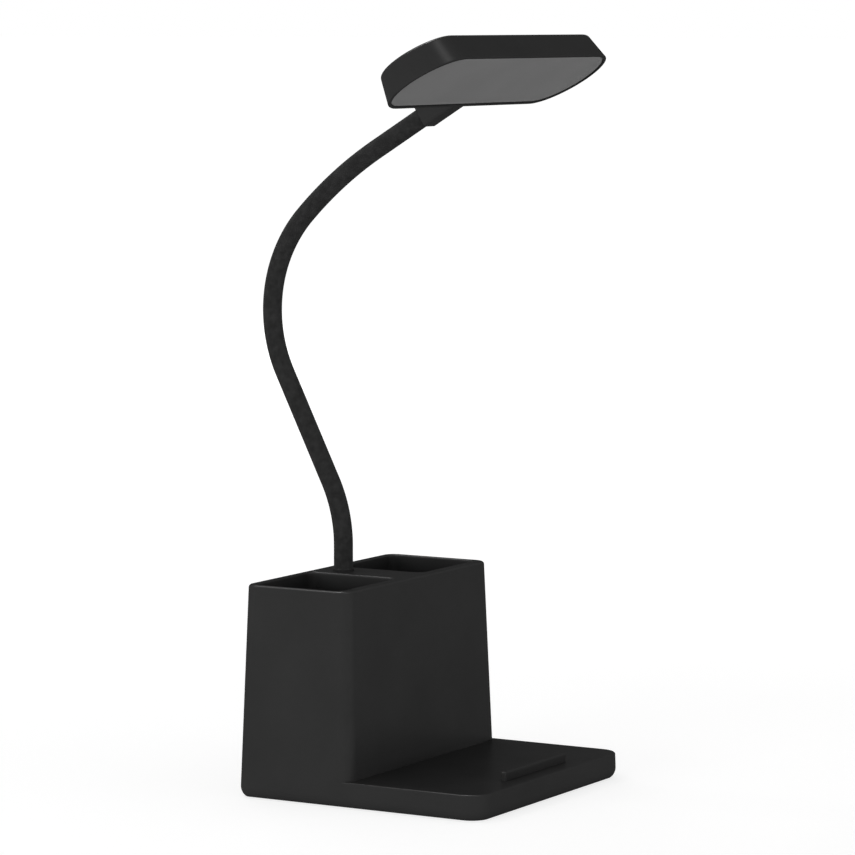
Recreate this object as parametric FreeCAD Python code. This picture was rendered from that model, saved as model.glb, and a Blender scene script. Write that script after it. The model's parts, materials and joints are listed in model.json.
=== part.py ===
import FreeCAD, Part
import math
import os
from FreeCAD import Placement, Rotation, Vector

# Desk lamp with an organiser base: a pen box with two pockets stands behind a low phone tray, and a
# gooseneck rises from the deck between the pockets to an oblong light head.
# Millimetres. X runs to the lamp's right, Y to its rear and Z up from the desk. The origin lies on the
# desk, under the middle of the lamp's outline.

# Base housing: foot outline, drafts and walls
BASE_WIDTH = 133.0
BASE_DEPTH = 125.0
BASE_FRONT_Y = -75.5
FOOT_STAND = 0.3
TRAY_TOP_Z = 11.7
BOX_TOP_Z = 95.0
BOX_DEPTH = 59.3
SIDE_DRAFT = 2.1
REAR_DRAFT = 1.6
BOX_FRONT_DRAFT = 1.9
TRAY_FRONT_DRAFT = 1.0
TRAY_CORNER = 10.0
BOX_CORNER = 6.0
TRAY_EDGE = 1.0
RIM_EDGE = 1.5
HEEL_CORNER_LOSS = 0.5
HEEL_DROP = 1.1
SKIRT_WALL = 3.0
TRAY_ROOF = 2.5

# Pen pockets and the deck between them
RIM_WALL = 2.8
FRONT_RIM_WALL = 5.7
DECK_WIDTH = 22.0
DECK_THICKNESS = 5.0
DECK_SIDE_WALL = 2.2
POCKET_FLOOR_Z = 29.0
POCKET_FLOOR_WALL = 2.5
POCKET_DRAFT = 0.5
POCKET_CORNER = 4.0
POCKET_FLOOR_EDGE = 2.0
POCKET_MOUTH_EDGE = 1.1

# Phone lip on the tray
LIP_LENGTH = 56.0
LIP_DEPTH = 2.6
LIP_HEIGHT = 4.0
LIP_SETBACK = 10.5
LIP_EDGE = 0.9

# Bottom cover, its screws and feet
COVER_THICKNESS = 2.0
COVER_GAP = 0.15
COVER_SCREW_INSET = 10.0
CUP_DEPTH = 2.2
CUP_FLOOR = 1.4
CUP_WALL = 1.3
BOSS_WALL = 2.2
FOOT_DIAMETER = 11.0
FOOT_SINK = 1.0
FOOT_FIT = 0.1
FOOT_EDGE = 0.2
FOOT_SCREW_PITCH = 15.0

# Counterweight plate under the tray
WEIGHT_WIDTH = 96.0
WEIGHT_DEPTH = 42.0
WEIGHT_THICKNESS = 5.0
WEIGHT_CORNER = 4.0
WEIGHT_FIT = 0.3
WEIGHT_RIB_SPAN = 48.0
RIB = 1.6
FENCE_LENGTH = 12.0
FENCE_HEIGHT = 2.5

# Rechargeable cell, lying across the base on two saddles
CELL_DIAMETER = 18.4
CELL_LENGTH = 65.0
CELL_EDGE = 1.0
CELL_LIFT = 0.6
CELL_FIT = 0.1
CELL_FRONT_GAP = 0.8
CELL_CONTACT = 6.2
SADDLE_SPAN = 42.0
SADDLE_RIB = 2.4
SADDLE_DEPTH = 14.8
SADDLE_OPENING = 9.2

# Control board, charging socket and power button on the rear wall
BOARD_WIDTH = 58.0
BOARD_DEPTH = 27.0
BOARD_THICKNESS = 1.6
BOARD_TOP_Z = 15.4
BOARD_REAR_GAP = 2.0
BOARD_SCREW_INSET = 4.0
SOCKET_WIDTH = 8.94
SOCKET_HEIGHT = 3.16
SOCKET_DEPTH = 7.4
SOCKET_SHEET = 0.3
SOCKET_RECESS = 0.8
SOCKET_X = 10.0
TONGUE_WIDTH = 6.7
TONGUE_THICKNESS = 0.7
TONGUE_DEPTH = 5.2
TONGUE_EDGE = 0.17
PORT_GAP = 0.3
SWITCH_WIDTH = 6.0
SWITCH_HEIGHT = 4.4
SWITCH_DEPTH = 5.0
SWITCH_X = -14.0
PLUNGER_DIAMETER = 2.6
PLUNGER_FIT = 0.06
PLUNGER_INSERT = 1.5
BUTTON_DIAMETER = 7.6
BUTTON_PROUD = 1.3
BUTTON_TRAVEL = 0.8
BUTTON_FLANGE = 1.2
BUTTON_FLANGE_THICKNESS = 0.8
BUTTON_EDGE = 0.6
BUTTON_SEAT_GAP = 0.1
BUTTON_FIT = 0.1
BUTTON_CLEAR = 0.2

# Share of a bar's height that rounds its edges to nearly half-round ends
ROUND_END = 0.49

# How far a cutting shape runs past the wall it opens, and how near two values count as the same
OVERCUT = 1.5
SAME = 0.01

# Screws
LARGE_SCREW = dict(shank=2.4, head=5.4, head_height=1.7, length=6.0)
SMALL_SCREW = dict(shank=1.8, head=3.8, head_height=1.3, length=5.5)
LED_SCREW = dict(shank=1.5, head=3.0, head_height=1.0, length=3.4)
PALM_SCREW = dict(shank=1.8, head=3.4, head_height=1.1, length=4.2)
SCREW_FIT = 0.05
SCREW_PASS = 0.3
SLOT_WIDTH = 0.7
SLOT_LENGTH_SHARE = 0.6
SLOT_DEPTH_SHARE = 0.5

# Gooseneck: its route in the middle plane, as runs and tangent arcs from the deck to the head bracket
NECK_DIAMETER = 8.7
NECK_REAR_GAP = 16.0
NECK_RISE = 11.5
BACK_RADIUS = 65.0
BACK_TURN = 26.5
SLOPE_LENGTH = 54.0
BOW_RADIUS = 63.0
BOW_TURN = 70.2
REACH_RADIUS = 186.0
REACH_TURN = 15.0
NECK_END_RUN = 28.8
NECK_JOINTS = 8
NECK_STIFF_END = 15.0
NECK_INSERT = 14.0
NECK_BALL_DIAMETER = 10.6
BALL_GAP = 0.15
CORE_DIAMETER = 4.9
CORE_FIT = 0.05
CORE_INSERT = 8.0

# Ferrule, washer and nut that hold the neck in the deck
FERRULE_FLANGE = 9.4
FERRULE_FLANGE_THICKNESS = 1.0
FERRULE_EDGE = 0.3
FERRULE_SHANK = 8.0
FERRULE_TAIL = 2.2
FERRULE_HOLE_FIT = 0.1
WASHER_DIAMETER = 15.0
WASHER_THICKNESS = 1.2
NUT_ACROSS_FLATS = 13.0
NUT_THICKNESS = 5.0
NUT_FIT = 0.05
WIRE_HOLE = 3.6

# Light head, drawn flat: x along its length, y to its rear, z up from the lower rim
HEAD_LENGTH = 160.8
HEAD_DEPTH = 43.1
HEAD_HEIGHT = 13.1
HEAD_DRAFT = 11.8
HEAD_EDGE = 1.8
HEAD_ROOF = 2.2
HEAD_REACH = 41.2
HEAD_AXIS_Z = 6.8
RIM_WIDTH = 1.6
RIM_LIP_EDGE = 0.4
DIFFUSER_RECESS = 0.6
DIFFUSER_THICKNESS = 2.0
DIFFUSER_GAP = 0.15
LEDGE_WIDTH = 1.2

# Light engine in the head
LED_END_GAP = 8.0
LED_FRONT_GAP = 6.85
LED_REAR_GAP = 12.85
LED_BOARD_THICKNESS = 1.2
LED_BOARD_DROP = 1.5
LED_WIDTH = 3.5
LED_DEPTH = 2.8
LED_HEIGHT = 0.8
LED_COLUMNS = 11
LED_ROW_INSET = 6.0
LED_COLUMN_INSET = 11.0
REFLECTOR_THICKNESS = 0.5
REFLECTOR_WINDOW_GAP = 0.35

# Bracket that joins the neck to the head
BRACKET_WIDTH = 10.2
BRACKET_HEIGHT = 11.0
BRACKET_CORNER = 1.8
BRACKET_END_EDGE = 0.6
BRACKET_BORE_FIT = 0.1
SPIGOT_WIDTH = 9.0
SPIGOT_LOW_Z = 4.0
SPIGOT_FIT = 0.1
PALM_WIDTH = 26.0
PALM_DEPTH = 6.4
PALM_GAP = 0.4
PALM_THICKNESS = 2.0
PALM_DROP = 1.5
PALM_SCREW_SPAN = 18.0

UP = Vector(0, 0, 1)
ACROSS = Vector(1, 0, 0)
REARWARD = Vector(0, 1, 0)


# ---------------------------------------------------------------- shape helpers

def lean(angle, z):
    """How far a wall drafted by angle has leaned in at height z above the housing's lower edge."""
    return (z - FOOT_STAND) * math.tan(math.radians(angle))


def side_x(z):
    return BASE_WIDTH / 2 - lean(SIDE_DRAFT, z)


def rear_y(z):
    return BASE_FRONT_Y + BASE_DEPTH - lean(REAR_DRAFT, z)


def tray_front_y(z):
    return BASE_FRONT_Y + lean(TRAY_FRONT_DRAFT, z)


def box_front_y(z):
    return BASE_FRONT_Y + BASE_DEPTH - BOX_DEPTH + lean(BOX_FRONT_DRAFT, z)


def frustum(foot, top, z_low, z_high):
    """Flat-sided block between two rectangles (x low, x high, y low, y high) at two heights."""
    def ring(r, z):
        return [Vector(r[0], r[2], z), Vector(r[1], r[2], z), Vector(r[1], r[3], z), Vector(r[0], r[3], z)]
    low, high = ring(foot, z_low), ring(top, z_high)
    sides = [[low[i], low[i - 3], high[i - 3], high[i]] for i in range(4)]
    faces = [Part.Face(Part.makePolygon(loop + loop[:1])) for loop in sides + [low[::-1], high]]
    return Part.makeSolid(Part.makeShell(faces))


def housing_block(z_low, z_high, inset=0.0, front=box_front_y):
    """Block between two heights whose sides follow the housing's outer walls, inset by a wall."""
    def rectangle(z):
        x = side_x(z) - inset
        return -x, x, front(z) + inset, rear_y(z) - inset
    return frustum(rectangle(z_low), rectangle(z_high), z_low, z_high)


def rounded(shape, radius, chosen):
    """The shape with a fillet on every edge that chosen accepts."""
    return shape.makeFillet(radius, [edge for edge in shape.Edges if chosen(edge)])


def upright(edge):
    box = edge.BoundBox
    return box.ZLength > max(box.XLength, box.YLength)


def upright_at_front(edge):
    return upright(edge) and edge.BoundBox.Center.y < BASE_FRONT_Y + TRAY_CORNER


def level(z):
    """A test for edges that lie at height z."""
    return lambda edge: abs(edge.BoundBox.ZMin - z) < SAME and abs(edge.BoundBox.ZMax - z) < SAME


def fused(shapes):
    """The shapes joined into one, with the seams between flush faces taken out."""
    return shapes[0].multiFuse(shapes[1:]).removeSplitter()


def box(x, y, z, centre_x, centre_y, z_low):
    return Part.makeBox(x, y, z, Vector(centre_x - x / 2, centre_y - y / 2, z_low))


def cylinder(diameter, length, at, along=UP):
    return Part.makeCylinder(diameter / 2, length, at, along)


def slab(length, depth, z_low, thickness, centre_y=0.0):
    """Flat oblong sheet with round ends, its length along x."""
    radius = depth / 2
    reach = length / 2 - radius
    ends = [cylinder(depth, thickness, Vector(side * reach, centre_y, z_low)) for side in (-1, 1)]
    return fused(ends + [box(2 * reach, depth, thickness, 0, centre_y, z_low)])


def oblong_frustum(length, depth, z_low, z_high):
    """Oblong with round ends and sides drafted like the head's; length and depth are at z = 0."""
    slope = math.tan(math.radians(HEAD_DRAFT))
    reach = (length - depth) / 2
    low, high = depth / 2 - z_low * slope, depth / 2 - z_high * slope
    cones = [Part.makeCone(low, high, z_high - z_low, Vector(side * reach, 0, z_low)) for side in (-1, 1)]
    middle = frustum((-reach, reach, -low, low), (-reach, reach, -high, high), z_low, z_high)
    return fused(cones + [middle])


def rounded_bar(width, height, length, corner, at):
    """Bar along +Y with rounded long edges; at is the middle of its near end."""
    bar = Part.makeBox(width, length, height, at - Vector(width / 2, 0, height / 2))
    return rounded(bar, corner, lambda edge: edge.BoundBox.YLength > length / 2)


def screw(size, at, slotted=False):
    """Pan-head screw with its seat at the given point, pointing up; its thread is drawn at core size."""
    head = cylinder(size["head"], size["head_height"], at - UP * size["head_height"])
    if slotted:
        length, depth = size["head"] * SLOT_LENGTH_SHARE, size["head_height"] * SLOT_DEPTH_SHARE
        low = at.z - size["head_height"]
        arms = [box(x, y, depth, at.x, at.y, low) for x, y in ((length, SLOT_WIDTH), (SLOT_WIDTH, length))]
        head = head.cut(fused(arms))
    return fused([head, cylinder(size["shank"], size["length"], at)])


def screws(size, points, slotted=False):
    return Part.makeCompound([screw(size, point, slotted) for point in points])


def pilot(size, at):
    """Hole that takes a screw's shank from its seat upwards, with room past its tip."""
    return cylinder(size["shank"] + 2 * SCREW_FIT, size["length"] + SCREW_PASS, at)


def clearance_hole(size, at, length):
    return cylinder(size["shank"] + 2 * SCREW_PASS, length, at)


# ---------------------------------------------------------------- places shared by several parts

HEEL_RADIUS = BOX_CORNER - HEEL_CORNER_LOSS
HEEL_Z = FOOT_STAND - HEEL_DROP
COVER_TOP_Z = FOOT_STAND + COVER_THICKNESS
CUP_TOP_Z = FOOT_STAND + CUP_DEPTH + CUP_FLOOR
CAVITY_TOP_Z = POCKET_FLOOR_Z - POCKET_FLOOR_WALL
TRAY_CEILING_Z = TRAY_TOP_Z - TRAY_ROOF
REAR_FOOT_Y = BASE_FRONT_Y + BASE_DEPTH
NECK_Y = REAR_FOOT_Y - NECK_REAR_GAP
BOX_FRONT_FOOT_Y = REAR_FOOT_Y - BOX_DEPTH
WEIGHT_Y = (BASE_FRONT_Y + BOX_FRONT_FOOT_Y) / 2
CELL_Y = box_front_y(CAVITY_TOP_Z) + SKIRT_WALL + CELL_FRONT_GAP + CELL_DIAMETER / 2
CELL_Z = COVER_TOP_Z + CELL_LIFT + CELL_DIAMETER / 2
BOARD_LOW_Z = BOARD_TOP_Z - BOARD_THICKNESS
BOARD_REAR_Y = rear_y(BOARD_TOP_Z) - SKIRT_WALL - BOARD_REAR_GAP
BOARD_Y = BOARD_REAR_Y - BOARD_DEPTH / 2
SOCKET_Z = BOARD_LOW_Z - SOCKET_HEIGHT / 2
BUTTON_Z = BOARD_LOW_Z - SWITCH_HEIGHT / 2


def cover_screw_points():
    """Three screws down each side: front, behind the tray and rear."""
    x = BASE_WIDTH / 2 - COVER_SCREW_INSET
    rows = (BASE_FRONT_Y + COVER_SCREW_INSET, BOX_FRONT_FOOT_Y - SKIRT_WALL, REAR_FOOT_Y - COVER_SCREW_INSET)
    return [Vector(side * x, y, FOOT_STAND + CUP_DEPTH) for side in (-1, 1) for y in rows]


def foot_points():
    """A foot beside each of the four corner screws."""
    x = BASE_WIDTH / 2 - COVER_SCREW_INSET
    rows = (BASE_FRONT_Y + COVER_SCREW_INSET + FOOT_SCREW_PITCH,
            REAR_FOOT_Y - COVER_SCREW_INSET - FOOT_SCREW_PITCH)
    return [Vector(side * x, y, 0) for side in (-1, 1) for y in rows]


def board_screw_points():
    x = BOARD_WIDTH / 2 - BOARD_SCREW_INSET
    y = BOARD_DEPTH / 2 - BOARD_SCREW_INSET
    return [Vector(i * x, BOARD_Y + j * y, BOARD_LOW_Z) for i in (-1, 1) for j in (-1, 1)]


# ---------------------------------------------------------------- base

def housing_outside():
    """Pen box and tray in one drafted form, with the phone lip on the tray.

    The rounding of the lower edge would run out HEEL_DROP below the housing, and is cut off level."""
    tray_rear = BOX_FRONT_FOOT_Y + BOX_DEPTH / 2
    on_top = level(TRAY_TOP_Z)
    tray = housing_block(HEEL_Z, TRAY_TOP_Z, front=tray_front_y)
    tray = tray.cut(box(2 * BASE_WIDTH, BASE_DEPTH, BOX_TOP_Z, 0, tray_rear + BASE_DEPTH / 2, HEEL_Z))
    tray = rounded(tray, TRAY_CORNER, upright_at_front)
    tray = rounded(tray, TRAY_EDGE, lambda edge: on_top(edge) and edge.BoundBox.YMin < tray_rear - TRAY_EDGE)
    pen_box = rounded(housing_block(HEEL_Z, BOX_TOP_Z), BOX_CORNER, upright)
    pen_box = rounded(pen_box, RIM_EDGE, level(BOX_TOP_Z))
    body = rounded(fused([tray, pen_box]), HEEL_RADIUS, level(HEEL_Z))
    body = body.cut(box(2 * BASE_WIDTH, 2 * BASE_DEPTH, HEEL_DROP, 0, 0, HEEL_Z))
    root = TRAY_ROOF / 2
    lip = box(LIP_LENGTH, LIP_DEPTH, LIP_HEIGHT + root, 0, BASE_FRONT_Y + LIP_SETBACK, TRAY_TOP_Z - root)
    lip = rounded(lip, LIP_EDGE, upright)
    lip = rounded(lip, LIP_EDGE, level(TRAY_TOP_Z + LIP_HEIGHT))
    return fused([body, lip])


def pocket_rectangle(side, z):
    """Outline of a pocket at height z as x low, x high, y low, y high; side is -1 or 1."""
    taper = (BOX_TOP_Z - z) * math.tan(math.radians(POCKET_DRAFT))
    x = sorted([side * (DECK_WIDTH / 2 + taper), side * (side_x(BOX_TOP_Z) - RIM_WALL - taper)])
    front = box_front_y(BOX_TOP_Z) + FRONT_RIM_WALL + taper
    return x[0], x[1], front, rear_y(BOX_TOP_Z) - RIM_WALL - taper


def pen_pocket(side):
    """The hollow of one pocket, narrowing a little towards its rounded floor."""
    hollow = frustum(pocket_rectangle(side, POCKET_FLOOR_Z), pocket_rectangle(side, BOX_TOP_Z),
                     POCKET_FLOOR_Z, BOX_TOP_Z)
    hollow = rounded(hollow, POCKET_CORNER, upright)
    return rounded(hollow, POCKET_FLOOR_EDGE, level(POCKET_FLOOR_Z))


def on_pocket_mouth(edge):
    """Whether an edge runs round the mouth of either pocket."""
    x_low, x_high, y_low, y_high = pocket_rectangle(1, BOX_TOP_Z)
    bound = edge.BoundBox
    across = min(abs(bound.XMin), abs(bound.XMax)), max(abs(bound.XMin), abs(bound.XMax))
    return (level(BOX_TOP_Z)(edge) and across[0] > x_low - SAME and across[1] < x_high + SAME
            and bound.YMin > y_low - SAME and bound.YMax < y_high + SAME)


def bottom_outline(inset, z_high):
    """Block from the housing's lower edge up to z_high, inset from its outer walls on every side."""
    block = housing_block(FOOT_STAND, z_high, inset, tray_front_y)
    block = rounded(block, TRAY_CORNER - inset, upright_at_front)
    return rounded(block, BOX_CORNER - inset, lambda edge: upright(edge) and edge.BoundBox.Center.y > NECK_Y)


def underside_hollow():
    """Space under the tray and the pockets, and the wire channel up to the deck."""
    under_box = housing_block(FOOT_STAND, CAVITY_TOP_Z, SKIRT_WALL)
    under_box = rounded(under_box, BOX_CORNER - SKIRT_WALL, upright)
    front, rear = pocket_rectangle(1, BOX_TOP_Z)[2:]
    channel = box(DECK_WIDTH - 2 * DECK_SIDE_WALL, rear - front, BOX_TOP_Z - DECK_THICKNESS - CELL_Z,
                  0, (front + rear) / 2, CELL_Z)
    return fused([bottom_outline(SKIRT_WALL, TRAY_CEILING_Z), under_box, channel])


def housing_bosses():
    """Screw bosses for the cover and the control board, and the ribs that hold the weight and the cell."""
    inside = []
    for point in cover_screw_points():
        top = CAVITY_TOP_Z if point.y > BOX_FRONT_FOOT_Y else TRAY_CEILING_Z
        foot = Vector(point.x, point.y, CUP_TOP_Z)
        inside.append(cylinder(LARGE_SCREW["shank"] + 2 * BOSS_WALL, top - CUP_TOP_Z, foot))
    for point in board_screw_points():
        foot = Vector(point.x, point.y, BOARD_TOP_Z)
        inside.append(cylinder(SMALL_SCREW["shank"] + 2 * BOSS_WALL, CAVITY_TOP_Z - BOARD_TOP_Z, foot))
    weight_top = COVER_TOP_Z + WEIGHT_THICKNESS
    for side in (-1, 1):
        inside.append(box(RIB, WEIGHT_DEPTH, TRAY_CEILING_Z - weight_top,
                          side * WEIGHT_RIB_SPAN / 2, WEIGHT_Y, weight_top))
        inside.append(saddle(side, CELL_Z + SADDLE_OPENING / 2, CAVITY_TOP_Z))
    return inside


def saddle(side, z_low, z_high):
    """Rib that follows the cell's round wall, on the housing above the cell or on the cover below it."""
    rib = box(SADDLE_RIB, SADDLE_DEPTH, z_high - z_low, side * SADDLE_SPAN / 2, CELL_Y, z_low)
    return rib.cut(cell_body(CELL_DIAMETER + 2 * CELL_FIT))


def cell_body(diameter):
    return cylinder(diameter, CELL_LENGTH, Vector(-CELL_LENGTH / 2, CELL_Y, CELL_Z), ACROSS)


def rear_openings():
    """Cut-outs in the rear wall for the charging socket and the power button."""
    height, length = SOCKET_HEIGHT + 2 * PORT_GAP, SKIRT_WALL + 2 * OVERCUT
    start = rear_y(SOCKET_Z) - SKIRT_WALL - OVERCUT
    port = rounded_bar(SOCKET_WIDTH + 2 * PORT_GAP, height, length, height * ROUND_END,
                       Vector(SOCKET_X, start, SOCKET_Z))
    hole = cylinder(BUTTON_DIAMETER + 2 * BUTTON_FIT, length, Vector(SWITCH_X, start, BUTTON_Z), REARWARD)
    return [port, hole]


def base_housing():
    shell = fused([housing_outside().cut(underside_hollow())] + housing_bosses())
    shell = shell.cut([pen_pocket(side) for side in (-1, 1)])
    shell = rounded(shell, POCKET_MOUTH_EDGE, on_pocket_mouth)
    holes = [pilot(LARGE_SCREW, point) for point in cover_screw_points()]
    holes += [pilot(SMALL_SCREW, point) for point in board_screw_points()]
    holes.append(cylinder(FERRULE_SHANK + 2 * FERRULE_HOLE_FIT, DECK_THICKNESS + 2 * OVERCUT,
                          Vector(0, NECK_Y, BOX_TOP_Z - DECK_THICKNESS - OVERCUT)))
    return shell.cut(holes + rear_openings())


def bottom_cover():
    """Flat cover between the walls, with cups for screw heads, a fence for the weight and two saddles."""
    cover = bottom_outline(SKIRT_WALL + COVER_GAP, COVER_TOP_Z)
    cup = LARGE_SCREW["head"] + 2 * (SCREW_PASS + CUP_WALL)
    added = [cylinder(cup, CUP_TOP_Z - COVER_TOP_Z, Vector(point.x, point.y, COVER_TOP_Z))
             for point in cover_screw_points()]
    added += [saddle(side, COVER_TOP_Z, CELL_Z - SADDLE_OPENING / 2) for side in (-1, 1)]
    reach_x = WEIGHT_WIDTH / 2 + WEIGHT_FIT + RIB / 2
    reach_y = WEIGHT_DEPTH / 2 + WEIGHT_FIT + RIB / 2
    for side in (-1, 1):
        added.append(box(RIB, FENCE_LENGTH, FENCE_HEIGHT, side * reach_x, WEIGHT_Y, COVER_TOP_Z))
        added.append(box(FENCE_LENGTH, RIB, FENCE_HEIGHT, 0, WEIGHT_Y + side * reach_y, COVER_TOP_Z))
    cover = fused([cover] + added)
    holes = []
    for point in cover_screw_points():
        holes.append(cylinder(LARGE_SCREW["head"] + 2 * SCREW_PASS, CUP_DEPTH, point - UP * CUP_DEPTH))
        holes.append(clearance_hole(LARGE_SCREW, point, 2 * CUP_FLOOR))
    seat = cylinder(FOOT_DIAMETER + 2 * FOOT_FIT, FOOT_STAND + FOOT_SINK, Vector())
    holes += [seat.translated(point) for point in foot_points()]
    return cover.cut(holes)


def rubber_feet():
    foot = rounded(cylinder(FOOT_DIAMETER, FOOT_STAND + FOOT_SINK, Vector()), FOOT_EDGE, level(0))
    return Part.makeCompound([foot.translated(point) for point in foot_points()])


def counterweight():
    plate = box(WEIGHT_WIDTH, WEIGHT_DEPTH, WEIGHT_THICKNESS, 0, WEIGHT_Y, COVER_TOP_Z)
    return rounded(plate, WEIGHT_CORNER, upright)


def battery_cell():
    """Round cell with a narrower raised contact on its right end."""
    cell = rounded(cell_body(CELL_DIAMETER), CELL_EDGE, lambda edge: True)
    root = Vector(CELL_LENGTH / 2 - CELL_EDGE, CELL_Y, CELL_Z)
    contact = cylinder(CELL_CONTACT, 2 * CELL_EDGE, root, ACROSS)
    return fused([cell, contact])


# ---------------------------------------------------------------- electrics on the rear wall

def control_board():
    board = box(BOARD_WIDTH, BOARD_DEPTH, BOARD_THICKNESS, 0, BOARD_Y, BOARD_LOW_Z)
    return board.cut([clearance_hole(SMALL_SCREW, point, BOARD_THICKNESS) for point in board_screw_points()])


def socket_mouth():
    """Middle of the charging socket's open end, a little inside the rear wall's outer face."""
    return Vector(SOCKET_X, rear_y(SOCKET_Z) - SOCKET_RECESS, SOCKET_Z)


def charging_socket():
    """Pressed metal shell under the board, open to the rear."""
    back = socket_mouth() - REARWARD * SOCKET_DEPTH
    shell = rounded_bar(SOCKET_WIDTH, SOCKET_HEIGHT, SOCKET_DEPTH, SOCKET_HEIGHT * ROUND_END, back)
    inner = SOCKET_HEIGHT - 2 * SOCKET_SHEET
    hollow = rounded_bar(SOCKET_WIDTH - 2 * SOCKET_SHEET, inner, SOCKET_DEPTH, inner * ROUND_END,
                         back + REARWARD * SOCKET_SHEET)
    return shell.cut(hollow)


def socket_tongue():
    """Contact tongue, standing on the closed end of the charging socket."""
    root = socket_mouth() - REARWARD * (SOCKET_DEPTH - SOCKET_SHEET)
    return rounded_bar(TONGUE_WIDTH, TONGUE_THICKNESS, TONGUE_DEPTH, TONGUE_EDGE, root)


def button_seat_y():
    """Where the button's inner flange stops behind the leaning rear wall."""
    return rear_y(BUTTON_Z + BUTTON_DIAMETER / 2 + BUTTON_FLANGE) - SKIRT_WALL - BUTTON_SEAT_GAP


def power_button():
    """Round cap that stands out of the rear wall and is kept in by a flange behind it."""
    seat, face = button_seat_y(), rear_y(BUTTON_Z) + BUTTON_PROUD
    cap = cylinder(BUTTON_DIAMETER, face - seat, Vector(SWITCH_X, seat, BUTTON_Z), REARWARD)
    cap = rounded(cap, BUTTON_EDGE, lambda edge: edge.BoundBox.YMin > face - BUTTON_EDGE)
    flange = cylinder(BUTTON_DIAMETER + 2 * BUTTON_FLANGE, BUTTON_FLANGE_THICKNESS,
                      Vector(SWITCH_X, seat - BUTTON_FLANGE_THICKNESS, BUTTON_Z), REARWARD)
    return fused([cap, flange])


def switch_face_y():
    """Rear face of the switch, which the pressed button stops short of."""
    return button_seat_y() - BUTTON_FLANGE_THICKNESS - BUTTON_TRAVEL - BUTTON_CLEAR


def switch_body():
    face = switch_face_y()
    body = box(SWITCH_WIDTH, SWITCH_DEPTH, SWITCH_HEIGHT, SWITCH_X, face - SWITCH_DEPTH / 2,
               BOARD_LOW_Z - SWITCH_HEIGHT)
    depth = PLUNGER_INSERT + BUTTON_TRAVEL + BUTTON_CLEAR
    bore = cylinder(PLUNGER_DIAMETER + 2 * PLUNGER_FIT, depth + OVERCUT,
                    Vector(SWITCH_X, face - depth, BUTTON_Z), REARWARD)
    return body.cut(bore)


def switch_plunger():
    start = switch_face_y() - PLUNGER_INSERT
    length = button_seat_y() - BUTTON_FLANGE_THICKNESS - start
    return cylinder(PLUNGER_DIAMETER, length, Vector(SWITCH_X, start, BUTTON_Z), REARWARD)


# ---------------------------------------------------------------- gooseneck

def neck_route():
    """Runs and arcs of the neck's centre line as (start, heading, length, curvature).

    The heading is the angle from straight up towards the rear; a positive curvature bends rearwards."""
    back, bow, reach = (math.radians(turn) for turn in (BACK_TURN, BOW_TURN, REACH_TURN))
    plan = [(NECK_RISE, 0.0), (BACK_RADIUS * back, 1 / BACK_RADIUS), (SLOPE_LENGTH, 0.0),
            (BOW_RADIUS * bow, -1 / BOW_RADIUS), (REACH_RADIUS * reach, -1 / REACH_RADIUS),
            (NECK_END_RUN + NECK_INSERT, 0.0)]
    start, heading, route = Vector(0, NECK_Y, BOX_TOP_Z), 0.0, []
    for length, curvature in plan:
        route.append((start, heading, length, curvature))
        start, heading = advance(start, heading, length, curvature)
    return route


def along(heading):
    return Vector(0, math.sin(heading), math.cos(heading))


def advance(start, heading, length, curvature):
    """Point and heading after a length of straight run or arc."""
    if not curvature:
        return start + along(heading) * length, heading
    centre = start + along(heading + math.pi / 2) * (1 / curvature)
    heading += length * curvature
    return centre - along(heading + math.pi / 2) * (1 / curvature), heading


def neck_length():
    """Length of the centre line from the deck to the bracket's rear end."""
    return sum(length for _, _, length, _ in neck_route()) - NECK_INSERT


def neck_point(distance):
    """Point and heading of the centre line at a distance from the deck."""
    for start, heading, length, curvature in neck_route():
        if distance <= length:
            break
        distance -= length
    return advance(start, heading, distance, curvature)


def tube(low, high, diameter=NECK_DIAMETER):
    """Solid rod that follows the centre line between two distances from the deck."""
    pieces, passed = [], 0.0
    for start, heading, length, curvature in neck_route():
        first, last = max(low - passed, 0.0), min(high - passed, length)
        passed += length
        if last - first < SAME:
            continue
        at, heading = advance(start, heading, first, curvature)
        if curvature:
            disc = Part.Face(Part.Wire(Part.makeCircle(diameter / 2, at, along(heading))))
            centre = at + along(heading + math.pi / 2) * (1 / curvature)
            pieces.append(disc.revolve(centre, ACROSS, -math.degrees((last - first) * curvature)))
        else:
            pieces.append(cylinder(diameter, last - first, at, along(heading)))
    return fused(pieces) if len(pieces) > 1 else pieces[0]


def joint_distances():
    """Distances of the neck's bending points, evenly spaced between its two stiff ends."""
    first, last = FERRULE_FLANGE_THICKNESS + NECK_STIFF_END, neck_length() - NECK_STIFF_END
    step = (last - first) / (NECK_JOINTS - 1)
    return [first + step * i for i in range(NECK_JOINTS)]


def ball(distance, gap=0.0):
    """Ball at a distance along the centre line, its poles on the line."""
    centre, heading = neck_point(distance)
    return Part.makeSphere(NECK_BALL_DIAMETER / 2 + gap, centre, along(heading))


def neck_links():
    """Lengths of neck, each with a round nose that turns in the hollow end of the next."""
    stops = joint_distances()
    ends = [FERRULE_FLANGE_THICKNESS] + stops + [neck_length() + NECK_INSERT]
    links = []
    for low, high in zip(ends, ends[1:]):
        link = tube(low, high)
        if high in stops:
            nose = tube(high, high + NECK_BALL_DIAMETER / 2).common(ball(high))
            link = fused([link, nose])
        if low in stops:
            link = link.cut(ball(low, BALL_GAP))
        links.append(link)
    tenon = cylinder(CORE_DIAMETER, CORE_INSERT, neck_point(FERRULE_FLANGE_THICKNESS)[0], UP * -1)
    links[0] = fused([links[0], tenon])
    return links


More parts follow.
